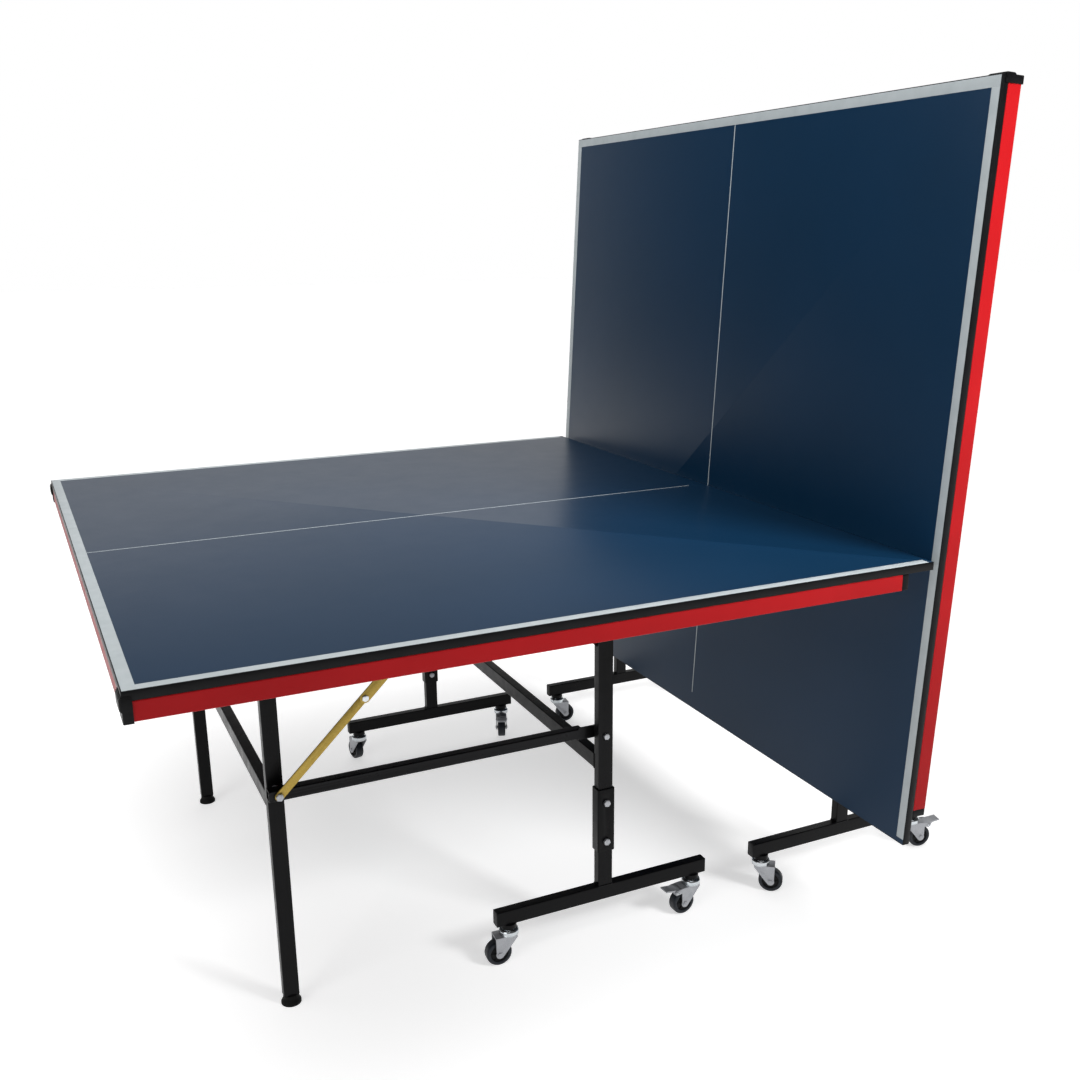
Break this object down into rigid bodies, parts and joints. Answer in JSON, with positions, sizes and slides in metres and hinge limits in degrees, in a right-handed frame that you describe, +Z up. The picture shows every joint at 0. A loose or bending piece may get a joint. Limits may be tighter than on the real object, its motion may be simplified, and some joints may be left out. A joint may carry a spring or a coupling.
{
  "type": "ping pong table",
  "caption": "Full-size rollaway table tennis table in two folding halves on wheeled frames, one half level for play and the other folded upright as the playback wall.",
  "frame": {"origin": "floor level, at the middle of the whole table's length and width as it stands in playback position", "axes": "+X along the table from half A's end line towards half B, +Z up, +Y across the table"},
  "size_m": [1.6924, 1.5294, 1.5722],
  "materials": {
    "board_blue": "satin blue playing coat on particle board",
    "band_black": "matt black edge band",
    "rail_red": "satin red powder coat",
    "frame_black": "satin black powder coat",
    "plastic_black": "fine-grained black plastic",
    "foot_rubber": "matt black rubber",
    "steel_zinc": "bright zinc plate",
    "steel_gold": "yellow passivated zinc plate",
    "screw_black": "black zinc plate",
    "wheel_tread": "dark blue-grey moulded wheel"
  },
  "bodies": {
    "carriage_a": {"leg_frame_a": "frame_black", "leg_sleeves_a": "frame_black", "sleeve_bolts_a": "steel_zinc", "base_bars_a": "frame_black", "base_caps_a": "plastic_black", "frame_bolts_a": "steel_zinc"},
    "top_a": {"top_board_a": "board_blue", "edge_band_a": "band_black", "side_rails_a": "rail_red", "end_rail_a": "rail_red", "rail_caps_a": "plastic_black", "corner_guards_a": "plastic_black", "top_screws_a": "screw_black", "hinge_brackets_a": "frame_black"},
    "end_leg_pair_a": {"end_legs_a": "frame_black", "leg_feet_a": "foot_rubber", "leg_bolts_a": "steel_zinc"},
    "link_pair_a": {"link_bars_a": "frame_black"},
    "lower_stay_pair_a": {"lower_stays_a": "steel_gold"},
    "upper_stay_pair_a": {"upper_stays_a": "steel_gold"},
    "carriage_b": {"leg_frame_b": "frame_black", "leg_sleeves_b": "frame_black", "sleeve_bolts_b": "steel_zinc", "base_bars_b": "frame_black", "base_caps_b": "plastic_black", "frame_bolts_b": "steel_zinc"},
    "top_b": {"top_board_b": "board_blue", "edge_band_b": "band_black", "side_rails_b": "rail_red", "end_rail_b": "rail_red", "rail_caps_b": "plastic_black", "corner_guards_b": "plastic_black", "top_screws_b": "screw_black", "hinge_brackets_b": "frame_black"},
    "end_leg_pair_b": {"end_legs_b": "frame_black", "leg_feet_b": "foot_rubber", "leg_bolts_b": "steel_zinc"},
    "link_pair_b": {"link_bars_b": "frame_black"},
    "lower_stay_pair_b": {"lower_stays_b": "steel_gold"},
    "upper_stay_pair_b": {"upper_stays_b": "steel_gold"},
    "caster_1": {"caster_fork_1": "steel_zinc"},
    "wheel_1": {"caster_wheel_1": "wheel_tread"},
    "caster_2": {"caster_fork_2": "steel_zinc"},
    "wheel_2": {"caster_wheel_2": "wheel_tread"},
    "brake_2": {"brake_pedal_2": "steel_zinc"},
    "caster_3": {"caster_fork_3": "steel_zinc"},
    "wheel_3": {"caster_wheel_3": "wheel_tread"},
    "caster_4": {"caster_fork_4": "steel_zinc"},
    "wheel_4": {"caster_wheel_4": "wheel_tread"},
    "brake_4": {"brake_pedal_4": "steel_zinc"},
    "caster_5": {"caster_fork_5": "steel_zinc"},
    "wheel_5": {"caster_wheel_5": "wheel_tread"},
    "caster_6": {"caster_fork_6": "steel_zinc"},
    "wheel_6": {"caster_wheel_6": "wheel_tread"},
    "brake_6": {"brake_pedal_6": "steel_zinc"},
    "caster_7": {"caster_fork_7": "steel_zinc"},
    "wheel_7": {"caster_wheel_7": "wheel_tread"},
    "caster_8": {"caster_fork_8": "steel_zinc"},
    "wheel_8": {"caster_wheel_8": "wheel_tread"},
    "brake_8": {"brake_pedal_8": "steel_zinc"}
  },
  "joints": [
    {"name": "fold_a", "type": "hinge", "parent": "carriage_a", "child": "top_a", "pos_m": [0.00581, 0, 0.72], "axis": [0, 1, 0], "range_deg": [0, 86.8]},
    {"name": "end_leg_swing_a", "type": "hinge", "parent": "top_a", "child": "end_leg_pair_a", "pos_m": [-0.59619, 0, 0.72], "axis": [0, 1, 0], "range_deg": [-86.9, 0.1]},
    {"name": "link_swing_a", "type": "hinge", "parent": "carriage_a", "child": "link_pair_a", "pos_m": [0.00581, 0, 0.425], "axis": [0, 1, 0], "range_deg": [-0.1, 86.9]},
    {"name": "lower_stay_swing_a", "type": "hinge", "parent": "end_leg_pair_a", "child": "lower_stay_pair_a", "pos_m": [-0.59619, 0, 0.425], "axis": [0, 1, 0], "range_deg": [-0.1, 131]},
    {"name": "upper_stay_swing_a", "type": "hinge", "parent": "top_a", "child": "upper_stay_pair_a", "pos_m": [-0.29319, 0, 0.72], "axis": [0, 1, 0], "range_deg": [-132, 0.1]},
    {"name": "fold_b", "type": "hinge", "parent": "carriage_b", "child": "top_b", "pos_m": [0.57781, 0, 0.72], "axis": [0, 1, 0], "range_deg": [0, 86.8]},
    {"name": "end_leg_swing_b", "type": "hinge", "parent": "top_b", "child": "end_leg_pair_b", "pos_m": [0.61141, 0, 1.32106], "axis": [0, 1, 0], "range_deg": [-86.9, 0.1]},
    {"name": "link_swing_b", "type": "hinge", "parent": "carriage_b", "child": "link_pair_b", "pos_m": [0.57781, 0, 0.425], "axis": [0, 1, 0], "range_deg": [-0.1, 86.9]},
    {"name": "lower_stay_swing_b", "type": "hinge", "parent": "end_leg_pair_b", "child": "lower_stay_pair_b", "pos_m": [0.61141, 0, 1.02606], "axis": [0, 1, 0], "range_deg": [-0.1, 131]},
    {"name": "upper_stay_swing_b", "type": "hinge", "parent": "top_b", "child": "upper_stay_pair_b", "pos_m": [0.5945, 0, 1.01853], "axis": [0, 1, 0], "range_deg": [-132, 0.1]},
    {"name": "roll_b", "type": "slide", "parent": "carriage_a", "child": "carriage_b", "axis": [1, 0, 0], "range_m": [0, 0.4835]},
    {"name": "caster_swivel_1", "type": "hinge", "parent": "carriage_a", "child": "caster_1", "pos_m": [-0.19469, -0.4935, 0.085], "axis": [0, 0, 1], "continuous": true},
    {"name": "wheel_spin_1", "type": "hinge", "parent": "caster_1", "child": "wheel_1", "pos_m": [-0.21664, -0.49196, 0.025], "axis": [-0.0698, -0.9976, 0], "continuous": true},
    {"name": "caster_swivel_2", "type": "hinge", "parent": "carriage_a", "child": "caster_2", "pos_m": [0.20631, -0.4935, 0.085], "axis": [0, 0, 1], "continuous": true},
    {"name": "wheel_spin_2", "type": "hinge", "parent": "caster_2", "child": "wheel_2", "pos_m": [0.18436, -0.49504, 0.025], "axis": [0.0698, -0.9976, 0], "continuous": true},
    {"name": "brake_press_2", "type": "hinge", "parent": "caster_2", "child": "brake_2", "pos_m": [0.1664, -0.49629, 0.054], "axis": [0.0698, -0.9976, 0], "range_deg": [0, 20]},
    {"name": "caster_swivel_3", "type": "hinge", "parent": "carriage_a", "child": "caster_3", "pos_m": [-0.19469, 0.4935, 0.085], "axis": [0, 0, 1], "continuous": true},
    {"name": "wheel_spin_3", "type": "hinge", "parent": "caster_3", "child": "wheel_3", "pos_m": [-0.19927, 0.51502, 0.025], "axis": [-0.9781, -0.2079, 0], "continuous": true},
    {"name": "caster_swivel_4", "type": "hinge", "parent": "carriage_a", "child": "caster_4", "pos_m": [0.20631, 0.4935, 0.085], "axis": [0, 0, 1], "continuous": true},
    {"name": "wheel_spin_4", "type": "hinge", "parent": "caster_4", "child": "wheel_4", "pos_m": [0.19842, 0.47296, 0.025], "axis": [0.9336, -0.3584, 0], "continuous": true},
    {"name": "brake_press_4", "type": "hinge", "parent": "caster_4", "child": "brake_4", "pos_m": [0.19197, 0.45616, 0.054], "axis": [0.9336, -0.3584, 0], "range_deg": [0, 20]},
    {"name": "caster_swivel_5", "type": "hinge", "parent": "carriage_b", "child": "caster_5", "pos_m": [0.37731, -0.4935, 0.085], "axis": [0, 0, 1], "continuous": true},
    {"name": "wheel_spin_5", "type": "hinge", "parent": "caster_5", "child": "wheel_5", "pos_m": [0.39464, -0.50704, 0.025], "axis": [0.6157, 0.788, 0], "continuous": true},
    {"name": "caster_swivel_6", "type": "hinge", "parent": "carriage_b", "child": "caster_6", "pos_m": [0.77831, -0.4935, 0.085], "axis": [0, 0, 1], "continuous": true},
    {"name": "wheel_spin_6", "type": "hinge", "parent": "caster_6", "child": "wheel_6", "pos_m": [0.79983, -0.49807, 0.025], "axis": [0.2079, 0.9781, 0], "continuous": true},
    {"name": "brake_press_6", "type": "hinge", "parent": "caster_6", "child": "brake_6", "pos_m": [0.81743, -0.50182, 0.054], "axis": [0.2079, 0.9781, 0], "range_deg": [0, 20]},
    {"name": "caster_swivel_7", "type": "hinge", "parent": "carriage_b", "child": "caster_7", "pos_m": [0.37731, 0.4935, 0.085], "axis": [0, 0, 1], "continuous": true},
    {"name": "wheel_spin_7", "type": "hinge", "parent": "caster_7", "child": "wheel_7", "pos_m": [0.39909, 0.49044, 0.025], "axis": [0.1392, 0.9903, 0], "continuous": true},
    {"name": "caster_swivel_8", "type": "hinge", "parent": "carriage_b", "child": "caster_8", "pos_m": [0.77831, 0.4935, 0.085], "axis": [0, 0, 1], "continuous": true},
    {"name": "wheel_spin_8", "type": "hinge", "parent": "caster_8", "child": "wheel_8", "pos_m": [0.79983, 0.49807, 0.025], "axis": [-0.2079, 0.9781, 0], "continuous": true},
    {"name": "brake_press_8", "type": "hinge", "parent": "caster_8", "child": "brake_8", "pos_m": [0.81743, 0.50182, 0.054], "axis": [-0.2079, 0.9781, 0], "range_deg": [0, 20]}
  ],
  "couplings": [
    {"joint": "end_leg_swing_a", "follows": "fold_a", "ratio": -1},
    {"joint": "link_swing_a", "follows": "fold_a", "ratio": 1},
    {"joint": "lower_stay_swing_a", "follows": "fold_a", "ratio": 1.5021},
    {"joint": "upper_stay_swing_a", "follows": "fold_a", "ratio": -1.5195},
    {"joint": "end_leg_swing_b", "follows": "fold_b", "ratio": -1},
    {"joint": "link_swing_b", "follows": "fold_b", "ratio": 1},
    {"joint": "lower_stay_swing_b", "follows": "fold_b", "ratio": 1.5021},
    {"joint": "upper_stay_swing_b", "follows": "fold_b", "ratio": -1.5195},
    {"joint": "roll_b", "follows": "fold_b", "m_per_rad": 0.31882}
  ]
}
